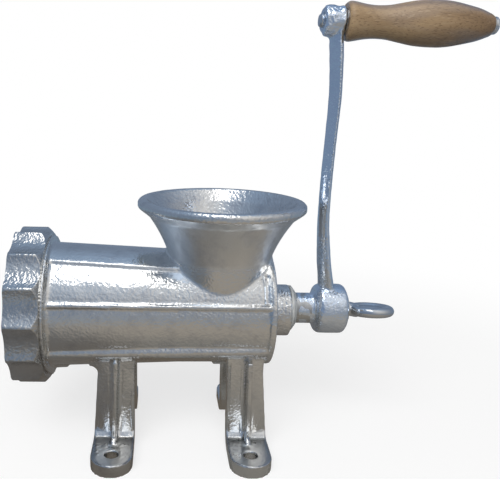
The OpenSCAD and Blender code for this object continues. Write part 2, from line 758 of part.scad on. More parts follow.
// Turned outline: a bead at the crank, a waist, a belly and a narrow end, as [share of length, diameter]
module wood_grip() color("Peru") on_grip_axis() {
    shape = [
        [0.000, grip_start_d - 2], [0.018, grip_start_d], [0.060, grip_start_d - 0.8],
        [0.120, (grip_start_d + 2 * grip_waist_d) / 3], [0.170, grip_waist_d + 0.4], [0.220, grip_waist_d],
        [0.290, grip_waist_d + 0.7], [0.375, (grip_waist_d + grip_belly_d) / 2 - 0.4],
        [0.465, grip_belly_d - 1.4], [0.550, grip_belly_d - 0.2], [0.640, grip_belly_d],
        [0.720, grip_belly_d - 1.2], [0.810, grip_belly_d - 4.1], [0.900, grip_end_d + 7.3],
        [0.965, grip_end_d + 3.2], [1.000, grip_end_d]
    ];
    difference() {
        turned(concat(
            [[grip_front_x, 0]],
            [for (p = shape) [grip_front_x + p[0] * grip_l, p[1] / 2]],
            [[grip_rear_x, 0]]
        ));
        rod(spindle_d + 2 * running, grip_front_x - 1, grip_rear_x + 1);
    }
}

module thumb_washer() color("Silver") on_axis() difference() {
    rod(thumb_washer_d, washer_front_x, washer_rear_x);
    rod(thumb_thread_d + 2 * running, washer_front_x - 1, washer_rear_x + 1);
}

// Spade-headed screw: a round rim, a thinner web and a plain shank for the thread
module thumb_screw() color("SlateGray") on_axis() {
    rim_x = washer_rear_x + face_gap + spade_stem_l;
    rod(thumb_thread_d, washer_rear_x - thumb_thread_l, washer_rear_x + face_gap + 1);
    rod(spade_stem_d, washer_rear_x + face_gap, rim_x + spade_rim_t);
    translate([rim_x + spade_d / 2, 0, 0]) rotate([-spade_turn, 0, 0]) {
        rotate_extrude() translate([(spade_d - spade_rim_t) / 2, 0]) circle(d = spade_rim_t);
        translate([0, 0, -spade_web_t / 2]) cylinder(d = spade_d - spade_rim_t, h = spade_web_t);
    }
}

body_casting();
rear_bush();
thrust_washer();
plate_pin();
auger_worm();
auger_shaft();
auger_pin();
knife_stud();
knife();
cutting_plate();
ring_nut();
crank_arm();
grip_spindle();
grip_inner_washer();
grip_end_washer();
wood_grip();
thumb_washer();
thumb_screw();
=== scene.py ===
import math

import bmesh
import bpy
import numpy as np
from mathutils import Matrix, Vector, noise


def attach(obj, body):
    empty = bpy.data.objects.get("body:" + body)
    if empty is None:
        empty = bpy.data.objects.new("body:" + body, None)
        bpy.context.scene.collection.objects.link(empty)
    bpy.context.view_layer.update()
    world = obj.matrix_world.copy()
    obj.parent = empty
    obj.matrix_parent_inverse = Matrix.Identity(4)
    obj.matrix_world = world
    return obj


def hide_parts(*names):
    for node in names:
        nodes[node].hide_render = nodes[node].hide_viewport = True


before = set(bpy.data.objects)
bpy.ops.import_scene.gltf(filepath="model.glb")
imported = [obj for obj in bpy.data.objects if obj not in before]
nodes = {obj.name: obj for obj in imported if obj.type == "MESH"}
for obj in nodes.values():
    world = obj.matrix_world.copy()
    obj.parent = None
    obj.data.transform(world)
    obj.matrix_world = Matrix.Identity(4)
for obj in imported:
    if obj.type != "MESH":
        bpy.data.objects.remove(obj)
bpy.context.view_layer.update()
scene = bpy.context.scene
scene.view_settings.view_transform = "Standard"
mm = 0.001
inDegrees = 180 / math.pi
axisHeight = 85.5    # barrel axis above the table, mm
gripHeight = 254.5   # grip axis above the table, mm


class Wire:
    # one output socket, with arithmetic that adds Math nodes
    def __init__(self, graph, socket):
        self.graph = graph
        self.socket = socket

    def other(self, name):
        return Wire(self.graph, self.socket.node.outputs[name])

    def math(self, operation, *values):
        return self.graph.node("ShaderNodeMath", {"operation": operation}, dict(enumerate((self, *values))))

    def reversedMath(self, operation, value):
        return self.graph.node("ShaderNodeMath", {"operation": operation}, {0: value, 1: self})

    def __add__(self, value):
        return self.math("ADD", value)

    def __sub__(self, value):
        return self.math("SUBTRACT", value)

    def __mul__(self, value):
        return self.math("MULTIPLY", value)

    def __truediv__(self, value):
        return self.math("DIVIDE", value)

    def __pow__(self, value):
        return self.math("POWER", value)

    def __rsub__(self, value):
        return self.reversedMath("SUBTRACT", value)

    def __rtruediv__(self, value):
        return self.reversedMath("DIVIDE", value)

    def __neg__(self):
        return self.math("MULTIPLY", -1)

    def span(self, low, high, toLow=0.0, toHigh=1.0):
        # low..high becomes toLow..toHigh, eased and clamped
        return self.graph.node(
            "ShaderNodeMapRange", {"interpolation_type": "SMOOTHSTEP"},
            {"Value": self, "From Min": low, "From Max": high, "To Min": toLow, "To Max": toHigh},
        )


class Graph:
    # a node tree; each new node hands back one of its output sockets
    def __init__(self, tree):
        self.tree = tree

    def node(self, kind, settings=None, inputs=None, out=0):
        made = self.tree.nodes.new(kind)
        for name, value in (settings or {}).items():
            setattr(made, name, value)
        for key, value in (inputs or {}).items():
            if isinstance(value, Wire):
                self.tree.links.new(value.socket, made.inputs[key])
            else:
                made.inputs[key].default_value = value
        return Wire(self, made.outputs[out]) if len(made.outputs) else None

    def mixColour(self, factor, first, second, blend="MIX"):
        return self.node(
            "ShaderNodeMix", {"data_type": "RGBA", "blend_type": blend},
            {0: factor, 6: opaque(first), 7: opaque(second)}, 2,
        )

    def split(self, vector):
        # the X socket; the others are .other("Y") and .other("Z")
        return self.node("ShaderNodeSeparateXYZ", None, {0: vector})

    def vector(self, operation, *values, out=0):
        return self.node("ShaderNodeVectorMath", {"operation": operation}, dict(enumerate(values)), out)

    def stretched(self, place, scale, turn=(0, 0, 0)):
        return self.node("ShaderNodeMapping", None, {"Vector": place, "Scale": scale, "Rotation": turn})

    def grainNoise(self, place, scale, detail=2.0, roughness=0.5):
        inputs = {"Vector": place, "Scale": scale, "Detail": detail, "Roughness": roughness}
        return self.node("ShaderNodeTexNoise", None, inputs)

    def layer(self, name):
        # what storeLayer put on the points of a mesh, or 0 where it put nothing
        return self.node("ShaderNodeAttribute", {"attribute_name": name}, None, "Fac")

    def bump(self, height):
        return self.node("ShaderNodeBump", None, {"Height": height, "Distance": 1.0, "Strength": 1.0})

    def emission(self, colour, level):
        return self.node("ShaderNodeEmission", None, {"Color": opaque(colour), "Strength": level})

    def mirroredRay(self):
        # 1 along rays from metal or glass, 0 along all others
        path = self.node("ShaderNodeLightPath")
        return path.math("MAXIMUM", path.other("Is Glossy Ray")).math(
            "MAXIMUM", path.other("Is Transmission Ray"))


def opaque(colour):
    return colour if isinstance(colour, Wire) else (*colour, 1)


def noiseScale(size):
    # the scale that gives noise features of a size in mm
    return 1000 / size / 1.6


def newMaterial(name):
    material = bpy.data.materials.new(name)
    material.use_nodes = True
    material.node_tree.nodes.clear()
    graph = Graph(material.node_tree)
    return material, graph, graph.node("ShaderNodeTexCoord", None, None, "Object")


def finishMaterial(graph, shader):
    graph.node("ShaderNodeOutputMaterial", None, {"Surface": shader})


def finishSurface(graph, inputs):
    finishMaterial(graph, graph.node("ShaderNodeBsdfPrincipled", None, inputs))


def objectFrom(name, mesh):
    made = bpy.data.objects.new(name, mesh)
    scene.collection.objects.link(made)
    return made


cameraValues = {
    "place": (-14.90, -354.23, 210.16),                   # mm
    "yaw": 0.034, "pitch": 0.259, "roll": -0.025,         # radians
    "focal": 599.628, "middle": (178.922, 258.383), "image": (500, 479),  # pixels
    "sensor": 36, "nearest": 0.02,                        # mm, m
}


def makeCamera(values):
    yaw, pitch, roll = values["yaw"], values["pitch"], values["roll"]
    forward = Vector((math.sin(yaw) * math.cos(pitch), math.cos(yaw) * math.cos(pitch), -math.sin(pitch)))
    side = Vector((math.cos(yaw), -math.sin(yaw), 0))
    down = forward.cross(side)
    right = side * math.cos(roll) + down * math.sin(roll)
    below = down * math.cos(roll) - side * math.sin(roll)
    data = bpy.data.cameras.new("camera")
    width, height = values["image"]
    data.sensor_fit = "HORIZONTAL"
    data.sensor_width = values["sensor"]
    data.lens = values["focal"] / width * values["sensor"]
    data.shift_x = (width / 2 - values["middle"][0]) / width
    data.shift_y = (values["middle"][1] - height / 2) / width
    data.clip_start = values["nearest"]
    camera = objectFrom("camera", data)
    turn = Matrix((right, -below, -forward)).transposed()
    camera.matrix_world = Matrix.Translation(Vector(values["place"]) * mm) @ turn.to_4x4()
    scene.camera = camera


makeCamera(cameraValues)
print("camera placed")


# sizes and places of the studio are in metres
studioValues = {
    "whiteLevel": 1.0,        # backdrop for mirror and glass rays
    "fillLevel": 0.34,        # neutral light from all around
    "softboxSize": (1.10, 0.70), "softboxPlace": (-0.25, -0.84, 0.98), "softboxAim": (0.02, 0.0, 0.15),
    "softboxRadiance": 4.9,
    # the lamp's face as metal mirrors it
    "panelPlace": (-0.06, -0.33, 1.25), "panelSize": (0.37, 0.86), "panelSlant": 0.20, "panelLevel": 2.8,
    "floorRadius": 3.0, "floorColour": 0.36, "floorGlow": 0.68,
    "floorClear": (0.16, 0.55),    # the mirrored floor fades to white between these distances
}


def buildWorld(values):
    world = bpy.data.worlds.new("studioWorld")
    world.use_nodes = True
    world.node_tree.nodes.clear()
    graph = Graph(world.node_tree)
    level = graph.mirroredRay() * (values["whiteLevel"] - values["fillLevel"]) + values["fillLevel"]
    shader = graph.node("ShaderNodeBackground", None, {"Color": (1, 1, 1, 1), "Strength": level})
    graph.node("ShaderNodeOutputWorld", None, {"Surface": shader})
    scene.world = world


def buildSoftbox(values):
    data = bpy.data.lights.new("softbox", "AREA")
    data.shape = "RECTANGLE"
    data.size, data.size_y = values["softboxSize"]
    data.energy = values["softboxRadiance"] * math.pi * data.size * data.size_y
    lamp = objectFrom("softbox", data)
    lamp.location = values["softboxPlace"]
    aim = Vector(values["softboxAim"]) - Vector(values["softboxPlace"])
    lamp.rotation_euler = aim.to_track_quat("-Z", "Y").to_euler()
    lamp.visible_glossy = False


def discMesh(name, radius, height, rings, sides=48):
    mesh = bpy.data.meshes.new(name)
    points, faces = [(0, 0, height)], []
    for ring in range(1, rings + 1):
        for side in range(sides):
            a = 2 * math.pi * side / sides
            points.append((radius * ring / rings * math.cos(a), radius * ring / rings * math.sin(a), height))
    for side in range(sides):
        after = (side + 1) % sides
        faces.append((0, 1 + side, 1 + after))
        for ring in range(rings - 1):
            a, b = 1 + ring * sides, 1 + (ring + 1) * sides
            faces.append((a + side, b + side, b + after, a + after))
    mesh.from_pydata(points, [], faces)
    return mesh


def stageObject(mesh, material):
    mesh.materials.append(material)
    made = objectFrom(mesh.name, mesh)
    return made


def onlyMirrored(made):
    made.visible_camera = False
    made.visible_diffuse = False
    made.visible_transmission = False
    made.visible_volume_scatter = False
    made.visible_shadow = False


def buildFloor(values):
    material, graph, place = newMaterial("paleFloor")
    far = graph.vector("LENGTH", place, out="Value").span(*values["floorClear"])
    seen = graph.mirroredRay()
    matt = graph.node("ShaderNodeBsdfDiffuse", None, {"Color": (*[values["floorColour"]] * 3, 1)})
    white = graph.emission((1, 1, 1), 1.0)
    glow = graph.emission((1, 1, 1), seen * values["floorGlow"])
    floor = graph.node("ShaderNodeAddShader", None, {0: matt, 1: glow})
    finishMaterial(graph, graph.node("ShaderNodeMixShader", None, {0: seen * far, 1: floor, 2: white}))
    stageObject(discMesh("floor", values["floorRadius"], 0.0, 4), material)


# What the metal mirrors: a blue-grey shaded room, paler high up in front, with a lit wall on the right.
# A pair is the start and the end of a change, in degrees: a rise or fall is a height above the table,
# and a turn or end is an angle around the object, 0 towards the camera.
roomValues = {
    "shade": (0.19, 0.245, 0.34), "sky": (0.42, 0.59, 0.84), "skyRise": (25, 125),
    "front": (0.63, 0.72, 0.85), "frontRise": (17, 58), "frontTurn": (-92, 32),
    "wallFoot": (0.28, 0.21, 0.07), "wall": (1.27, 1.17, 1.03), "wallRise": (-23, 35),
    "wallTurn": (-24, 59), "wallEnd": (-67, 145),
    "windowRise": (29, 36), "windowFall": (64, 70), "windowTurn": (-50, -40), "windowEnd": (60, 70),
    "windowLevel": 3.0, "windowBounce": 1.5,    # it shows after more mirrorings than this
    "radius": 2.4, "bottom": -0.1,              # m
}


def turnFromCamera(parts):
    return parts.math("ARCTAN2", -parts.other("Y")) * inDegrees


def buildRoom(values):
    material, graph, place = newMaterial("roomReflection")
    parts = graph.split(graph.vector("NORMALIZE", place))
    height = parts.other("Z").math("ARCSINE") * inDegrees
    turn = turnFromCamera(parts)
    ahead = 1 - turn.span(*values["wallEnd"])
    colour = graph.mixColour(height.span(*values["skyRise"]), values["shade"], values["sky"])
    inFront = height.span(*values["frontRise"]) * turn.span(*values["frontTurn"]) * ahead
    colour = graph.mixColour(inFront, colour, values["front"])
    wall = graph.mixColour(height.span(*values["wallRise"]), values["wallFoot"], values["wall"])
    colour = graph.mixColour(turn.span(*values["wallTurn"]) * ahead, colour, wall)
    # a window that only mirrors of mirrors show
    window = height.span(*values["windowRise"]) * height.span(*values["windowFall"], 1, 0)
    window = window * turn.span(*values["windowTurn"]) * turn.span(*values["windowEnd"], 1, 0)
    depth = graph.node("ShaderNodeLightPath", out="Glossy Depth")
    twice = depth.math("GREATER_THAN", values["windowBounce"])
    finishMaterial(graph, graph.emission(colour, window * twice * values["windowLevel"] + 1))
    mesh = bpy.data.meshes.new("roomReflection")
    shape = bmesh.new()
    bmesh.ops.create_icosphere(shape, subdivisions=4, radius=values["radius"])
    sunk = [v for v in shape.verts if v.co.z < values["bottom"]]
    bmesh.ops.delete(shape, geom=sunk, context="VERTS")
    shape.to_mesh(mesh)
    shape.free()
    onlyMirrored(stageObject(mesh, material))


# The table top as the metal mirrors it: brown wood in front, darker near the object,
# in blue-grey shade to the left and behind. Reaches are distances from the object's middle, m.
tableValues = {
    "shadeNear": (0.12, 0.07, 0.01), "shadeFar": (0.20, 0.27, 0.36), "shadeReach": (-0.35, 0.785),
    "near": (0.16, 0.165, 0.165), "nearReach": (-0.017, 0.19), "wood": (0.35, 0.32, 0.28),
    "far": (0.285, 0.315, 0.355), "farReach": (0.20, 0.55), "woodTurn": (-41, -6), "woodEnd": (44, 139),
    "radius": 2.5, "height": 0.0004,    # m
}


def buildTable(values):
    material, graph, place = newMaterial("tableReflection")
    parts = graph.split(place)
    flat = graph.node("ShaderNodeCombineXYZ", None, {0: parts, 1: parts.other("Y")})
    distance = graph.vector("LENGTH", flat, out="Value")
    turn = turnFromCamera(parts)
    shade = graph.mixColour(distance.span(*values["shadeReach"]), values["shadeNear"], values["shadeFar"])
    wood = graph.mixColour(distance.span(*values["farReach"]), values["wood"], values["far"])
    wood = graph.mixColour(distance.span(*values["nearReach"]), values["near"], wood)
    lit = turn.span(*values["woodTurn"]) * turn.span(*values["woodEnd"], 1, 0)
    finishMaterial(graph, graph.emission(graph.mixColour(lit, shade, wood), 1.0))
    onlyMirrored(stageObject(discMesh("tableReflection", values["radius"], values["height"], 6), material))


def buildPanel(values):
    material, graph, _ = newMaterial("lampFace")
    finishMaterial(graph, graph.emission((1, 1, 1), values["panelLevel"]))
    (x, y, z), (wide, deep) = values["panelPlace"], values["panelSize"]
    corners = [(x + i * wide / 2, y + j * deep / 2, z) for i, j in ((-1, -1), (-1, 1), (1, 1), (1, -1))]
    corners[0] = (corners[0][0], corners[0][1] + values["panelSlant"], z)
    mesh = bpy.data.meshes.new("lampFace")
    mesh.from_pydata(corners, [], [(0, 1, 2, 3)])
    onlyMirrored(stageObject(mesh, material))


buildWorld(studioValues)
buildSoftbox(studioValues)
buildFloor(studioValues)
buildRoom(roomValues)
buildTable(tableValues)
buildPanel(studioValues)
print("studio built")


# sizes and depths of the finishes are in mm, and a span is where in a noise a change starts and ends
ironValues = {
    "colour": (0.79, 0.785, 0.765), "stain": (0.66, 0.66, 0.66), "stainSpan": (0.45, 0.75),
    "grainSize": 1.0, "grainDepth": 0.30,
    "grainLength": 1.7, "grainTurn": (0.35, 0.75, 0.5),    # times the size, radians
    "pitSize": 0.7, "pitDepth": 0.06,
    "swellSize": 8.0, "swellDepth": 0.45,
    "footStart": 17.5, "footSlope": 0.27,    # the feet shade as if they rose from here outwards
    "footPaintedShade": 0.70,                        # painted shade: the up-facing tops of the feet are darkened to this share of their colour
    "roughness": (0.13, 0.23), "roughSpan": (0.35, 0.7), "patchScale": 90,
}
# painted reflection: the crank's colour and stain are tinted blue to stand in for the blue shade that it
# mirrors
crankIronPaintedBlue = {**ironValues, "colour": (0.80, 0.87, 0.96), "stain": (0.70, 0.78, 0.89)}
nutIron = {**ironValues, "colour": (0.68, 0.67, 0.65), "stain": (0.54, 0.535, 0.52), "grainDepth": 0.36}


def tinnedIron(name, values, layered=False):
    # a layered piece carries its own amounts of grain, satin, flat, feet and painted shade on its points; the
    # painted shade darkens the up-facing tops of the feet
    material, graph, place = newMaterial(name)
    strokes = graph.stretched(place, (1.0, 1.0, 1.0), values["grainTurn"])
    strokes = graph.stretched(strokes, (1.0, 1.0 / values["grainLength"], 1.0))
    grains = graph.grainNoise(strokes, noiseScale(values["grainSize"]), 1.0, 0.5)
    pits = graph.grainNoise(place, noiseScale(values["pitSize"]), 1.0, 0.5)
    swell = graph.grainNoise(place, noiseScale(values["swellSize"]), 1.0, 0.4)
    patches = graph.grainNoise(place, values["patchScale"], 3.0, 0.6)
    fine = grains * (values["grainDepth"] * mm) + pits * (values["pitDepth"] * mm)
    rough = patches.span(*values["roughSpan"], *values["roughness"])
    colour = graph.mixColour(patches.span(*values["stainSpan"]), values["colour"], values["stain"])
    if layered:
        out = graph.split(place).other("Y").math("ABSOLUTE")
        rise = (out - values["footStart"] * mm).math("MAXIMUM", 0.0) * values["footSlope"]
        swell = swell * ((1 - graph.layer("flat")) * (values["swellDepth"] * mm))
        height = fine * graph.layer("grain") + swell + rise * graph.layer("feet")
        rough = rough + graph.layer("satin")
        # painted shade: the colour is darkened on the up-facing tops of the feet
        paintedShade = tuple(c * values["footPaintedShade"] for c in values["colour"])
        colour = graph.mixColour(graph.layer("paintedShade"), colour, paintedShade)
    else:
        height = fine + swell * (values["swellDepth"] * mm)
    finishSurface(graph, {
        "Base Color": colour, "Metallic": 1.0, "Roughness": rough, "Normal": graph.bump(height),
    })
    return material


steelValues = {
    "colour": (0.60, 0.60, 0.59), "worn": 0.82, "wornSpan": (0.4, 0.7),    # worn patches are darker
    "roughness": (0.22, 0.36), "roughSpan": (0.3, 0.7), "patchScale": 140,
    "lineSize": 0.5, "lineDepth": 0.02, "lineStretch": (0.05, 1.0, 1.0),
}


def groundSteel(name, values):
    material, graph, place = newMaterial(name)
    across = graph.stretched(place, values["lineStretch"])
    lines = graph.grainNoise(across, noiseScale(values["lineSize"]), 2.0, 0.6)
    patches = graph.grainNoise(place, values["patchScale"], 3.0, 0.6)
    worn = tuple(c * values["worn"] for c in values["colour"])
    finishSurface(graph, {
        "Base Color": graph.mixColour(patches.span(*values["wornSpan"]), values["colour"], worn),
        "Metallic": 1.0, "Roughness": patches.span(*values["roughSpan"], *values["roughness"]),
        "Normal": graph.bump(lines * (values["lineDepth"] * mm)),
    })
    return material


chromeValues = {
    "colour": (0.66, 0.68, 0.70), "roughness": (0.06, 0.13), "roughSpan": (0.35, 0.7), "patchScale": 260,
    "waveSize": 6.0, "waveDepth": 0.12,
}


def polishedChrome(name, values):
    material, graph, place = newMaterial(name)
    wave = graph.grainNoise(place, noiseScale(values["waveSize"]), 1.0, 0.4)
    patches = graph.grainNoise(place, values["patchScale"], 3.0, 0.6)
    finishSurface(graph, {
        "Base Color": opaque(values["colour"]), "Metallic": 1.0,
        "Roughness": patches.span(*values["roughSpan"], *values["roughness"]),
        "Normal": graph.bump(wave * (values["waveDepth"] * mm)),
    })
    return material


plasticValues = {
    "colour": (0.60, 0.61, 0.60), "shade": (0.45, 0.47, 0.47), "shadeSpan": (0.35, 0.7), "cloudScale": 210,
    "roughness": (0.36, 0.50), "roughSpan": (0.3, 0.7), "fineScale": 1500, "fineDepth": 0.03,
}
fibreValues = {
    **plasticValues, "colour": (0.23, 0.12, 0.06), "shade": (0.15, 0.08, 0.045), "roughness": (0.54, 0.68),
}


def mattPlastic(name, values):
    material, graph, place = newMaterial(name)
    cloud = graph.grainNoise(place, values["cloudScale"], 3.0, 0.6)
    fine = graph.grainNoise(place, values["fineScale"], 2.0, 0.6)
    finishSurface(graph, {
        "Base Color": graph.mixColour(cloud.span(*values["shadeSpan"]), values["colour"], values["shade"]),
        "Roughness": cloud.span(*values["roughSpan"], *values["roughness"]),
        "Normal": graph.bump(fine * (values["fineDepth"] * mm)),
    })
    return material


beechValues = {
    "light": (0.41, 0.285, 0.160), "dark": (0.235, 0.150, 0.078),
    "ringSize": 7.5, "pith": (10.0, 26.0),            # the pith lies this far behind and above the axis
    "ringAlong": 0.05, "ringWarp": 6.0,
    "ringTone": 0.30, "fibreTone": 0.36, "cloudTone": 0.5, "toneShift": 0.12,
    "fleck": (0.16, 0.095, 0.050), "fleckSpan": (0.54, 0.68), "fleckTone": 0.6,
    "fleckLength": 1.5, "fleckWidth": 0.30,
    "ray": (0.46, 0.34, 0.21), "raySpan": (0.56, 0.72), "rayTone": 0.45,
    "rayScale": 0.7, "rayUpright": 0.6,               # beside a fleck's: a lower scale is a larger ray
    "end": (0.66, 0.61, 0.57), "endSpan": (0.120, 0.168),    # the far end is darker; m along X
    "fibreDepth": 0.035, "fleckDepth": 0.04, "sunkSpan": (0.56, 0.70), "cloudDepth": 0.25,
    "roughness": (0.28, 0.44), "roughSpan": (0.3, 0.7),
    "coatSpan": (0.42, 0.58), "coatStrength": 1.7, "coatRoughness": 0.12,
}


def beech(name, values):
    material, graph, place = newMaterial(name)
    behind, above = values["pith"]
    centred = graph.node("ShaderNodeMapping", None, {
        "Vector": place, "Location": (0, -behind * mm, -(gripHeight + above) * mm),
    })
    warp = graph.grainNoise(graph.stretched(centred, (0.4, 1, 1)), 42, 2.0, 0.5)
    parts = graph.split(centred)
    across = graph.node("ShaderNodeCombineXYZ", None, {
        0: parts * values["ringAlong"], 1: parts.other("Y"), 2: parts.other("Z"),
    })
    radius = graph.vector("LENGTH", across, out="Value") + (warp - 0.5) * (values["ringWarp"] * mm)
    rings = (radius * (2 * math.pi / (values["ringSize"] * mm))).math("SINE") * 0.5 + 0.5
    thin = values["fleckWidth"] / values["fleckLength"]
    fibre = graph.grainNoise(graph.stretched(centred, (0.03, 1, 1)), 1700, 3.0, 0.7)
    flecks = graph.stretched(centred, (thin, 1, 1))
    flecks = graph.grainNoise(flecks, noiseScale(values["fleckWidth"]), 1.0, 0.5)
    rays = graph.stretched(centred, (thin * values["rayScale"], 1, values["rayUpright"]))
    rays = graph.grainNoise(rays, noiseScale(values["fleckWidth"] / values["rayScale"]), 1.0, 0.5)
    cloud = graph.grainNoise(graph.stretched(centred, (0.3, 1, 1)), 95, 2.0, 0.5)
    tone = rings * values["ringTone"] + fibre * values["fibreTone"] + cloud * values["cloudTone"]
    tone = (tone - values["toneShift"]).span(0.0, 1.0)
    colour = graph.mixColour(tone, values["light"], values["dark"])
    colour = graph.mixColour(rays.span(*values["raySpan"]) * values["rayTone"], colour, values["ray"])
    colour = graph.mixColour(flecks.span(*values["fleckSpan"]) * values["fleckTone"], colour, values["fleck"])
    darker = graph.mixColour(1.0, colour, values["end"], "MULTIPLY")
    colour = graph.mixColour(parts.span(*values["endSpan"]), colour, darker)
    relief = fibre * (values["fibreDepth"] * mm)
    relief = relief - flecks.span(*values["sunkSpan"]) * (values["fleckDepth"] * mm)
    relief = relief + cloud * (values["cloudDepth"] * mm)
    finishSurface(graph, {
        "Base Color": colour, "Roughness": fibre.span(*values["roughSpan"], *values["roughness"]),
        "Normal": graph.bump(relief), "Coat Weight": cloud.span(*values["coatSpan"]),
        "Coat IOR": values["coatStrength"], "Coat Roughness": values["coatRoughness"],
    })
    return material


finishes = {
    "casting": tinnedIron("tinnedCasting", ironValues, layered=True),
    "crank": tinnedIron("tinnedCrankPaintedBlue", crankIronPaintedBlue, layered=True),
    "nut": tinnedIron("tinnedNut", nutIron),
    "iron": tinnedIron("tinnedIron", ironValues),
    "steel": groundSteel("groundSteel", steelValues),
    "chrome": polishedChrome("polishedChrome", chromeValues),
    "nylon": mattPlastic("greyNylon", plasticValues),
    "fibre": mattPlastic("brownFibre", fibreValues),
    "beech": beech("oiledBeech", beechValues),
}
print("materials made")


def meshFrom(shape, name):
    # the bmesh as a mesh, with its faces turned outwards
    bmesh.ops.recalc_face_normals(shape, faces=shape.faces)
    mesh = bpy.data.meshes.new(name)
    shape.to_mesh(mesh)
    shape.free()
    return mesh


def turnedMesh(outline, segments, place=(0, 0, 0), closed=True):
    # a body of revolution around X from (along, radius) points in mm
    shape = bmesh.new()
    rings = []
    for along, radius in outline:
        ring = []
        for s in range(segments):
            a = 2 * math.pi * s / segments
            y, z = place[1] - radius * math.sin(a), place[2] + radius * math.cos(a)
            ring.append(shape.verts.new(((along + place[0]) * mm, y * mm, z * mm)))
        rings.append(ring)
    count = len(rings) if closed else len(rings) - 1
    for i in range(count):
        a, b = rings[i], rings[(i + 1) % len(rings)]
        for s in range(segments):
            t = (s + 1) % segments
            shape.faces.new((a[s], b[s], b[t], a[t]))
    bmesh.ops.remove_doubles(shape, verts=shape.verts, dist=1e-7)
    bmesh.ops.dissolve_degenerate(shape, edges=shape.edges, dist=1e-8)
    return meshFrom(shape, "turned")


def arcPoints(x, r, radius, start, end, steps=5):
    # points of an arc around (x, r), angles in degrees
    angles = [math.radians(start + (end - start) * i / steps) for i in range(steps + 1)]
    return [(x + radius * math.cos(a), r + radius * math.sin(a)) for a in angles]


def smoothCurve(points, steps):
    # a smooth curve through all the points, with a number of steps from each to the next
    table = np.array(points, float)
    curve = []
    for i in range(len(table) - 1):
        before, after = table[max(i - 1, 0)], table[min(i + 2, len(table) - 1)]
        for k in range(steps):
            t = k / steps
            curve.append(0.5 * (
                2 * table[i] + (table[i + 1] - before) * t
                + (2 * before - 5 * table[i] + 4 * table[i + 1] - after) * t * t
                + (3 * table[i] - before - 3 * table[i + 1] + after) * t ** 3
            ))
    return curve + [table[-1]]


def smoothStep(x, low, high):
    # 0 below low, 1 above high
    t = np.clip((x - low) / (high - low), 0, 1)
    return t * t * (3 - 2 * t)


def smoothFall(x, low, high):
    # 1 below low, 0 above high
    return smoothStep(-x, -high, -low)


def cadCopy(node):
    # a closed copy of a node's loose triangles
    shape = bmesh.new()
    shape.from_mesh(nodes[node].data)
    bmesh.ops.remove_doubles(shape, verts=shape.verts, dist=2e-6)
    mesh = bpy.data.meshes.new(node)
    shape.to_mesh(mesh)
    shape.free()
    return mesh


def joined(meshes):
    shape = bmesh.new()
    for mesh in meshes:
        shape.from_mesh(mesh)
    mesh = bpy.data.meshes.new("joined")
    shape.to_mesh(mesh)
    shape.free()
    return mesh


def evaluated(made, name):
    # the result of the object's modifiers as a plain mesh
    graph = bpy.context.evaluated_depsgraph_get()
    mesh = bpy.data.meshes.new_from_object(made.evaluated_get(graph))
    mesh.name = name
    bpy.data.objects.remove(made)
    return mesh


def castSkin(name, meshes, values):
    # closed shells fused into one skin with softened edges, as a casting has
    made = objectFrom(name + "Draft", joined(meshes))
    remesh = made.modifiers.new("fuse", "REMESH")
    remesh.mode = "VOXEL"
    remesh.voxel_size = values["voxel"] * mm
    remesh.use_smooth_shade = True
    soften = made.modifiers.new("soften", "SMOOTH")
    soften.factor = 0.5
    soften.iterations = values["rounds"]
    mesh = evaluated(made, name)
    faces = len(mesh.polygons) * 2
    if faces > values["triangles"]:
        made = objectFrom(name + "Dense", mesh)
        thin = made.modifiers.new("thin", "DECIMATE")
        thin.ratio = values["triangles"] / faces
        mesh = evaluated(made, name)
    mesh.polygons.foreach_set("use_smooth", [True] * len(mesh.polygons))
    print(name, len(mesh.polygons), "faces")
    return mesh


def pointValues(mesh, name):
    # "co" or "normal" of every point, as rows of three
    values = np.zeros(len(mesh.vertices) * 3, np.float32)
    mesh.vertices.foreach_get(name, values)
    return values.reshape(-1, 3)


def movePoints(mesh, place):
    mesh.vertices.foreach_set("co", place.ravel())
    mesh.update()


def storeLayer(mesh, name, values):
    layer = mesh.attributes.new(name, "FLOAT", "POINT")
    layer.data.foreach_set("value", np.asarray(values, np.float32))


def finishPiece(name, mesh, finish, body, slotName, *replaced):
    mesh.materials.clear()
    mesh.materials.append(finishes[finish])
    made = objectFrom(name, mesh)
    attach(made, body)
    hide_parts(*replaced)


# Lengths are in mm. A pair is where a change starts and ends: along the barrel, outwards from its
# middle plane, or in height.
castingValues = {
    "voxel": 0.85, "rounds": 2, "triangles": 190000,
    "boreRadius": 29.0, "boreSpan": (-79.5, 47.0), "boreDepth": 3.0,    # the softened bore is restored
    "railAngle": 33.0, "railRadius": 4.3,
    "railFront": (-79.5, 39.8), "railRear": (51.5, 36.1),    # along, out
    "legMiddles": (-41.0, 41.0), "plateInner": (12, 17),
    "lean": 0.6, "leanTop": 58.0,                            # the plates lean in towards the feet
    "crown": 1.0, "crownStart": 1.5, "crownReach": 10, "crownWidth": 9,
    "crownFoot": (8.0, 14.0), "crownTop": (50.0, 58.0),      # and fall back beside their ribs
    "footHeight": 8, "footFall": 0.6, "footRoot": 16.0, "footTip": 55.0, "footRise": (9.0, 14.0),
    "footLevel": 3.0, "footPlain": 6.0,                      # the last mm before its tip don't fall, or lean
    # where the finish changes, and how much
    "hopperX": 22.0, "hopperFoot": (112, 120), "hopperRim": (146, 150),
    "hopperFine": 0.75, "hopperSatin": 0.17, "hopperFacing": (0.0, 0.4),
    "frontEdge": (-5, 45), "frontFoot": (50, 60), "frontFine": 0.4,
    "legTop": (40, 50), "legFoot": (7, 11), "legFine": 0.55, "legSatin": 0.02,
    "footTop": (9, 13), "treadSatin": 0.14, "treadFacing": (0.5, 0.9),
    "bossFront": (53.6, 55), "bossCoarse": 0.9,
    "flatTop": (52, 58), "flat": 0.9,
}


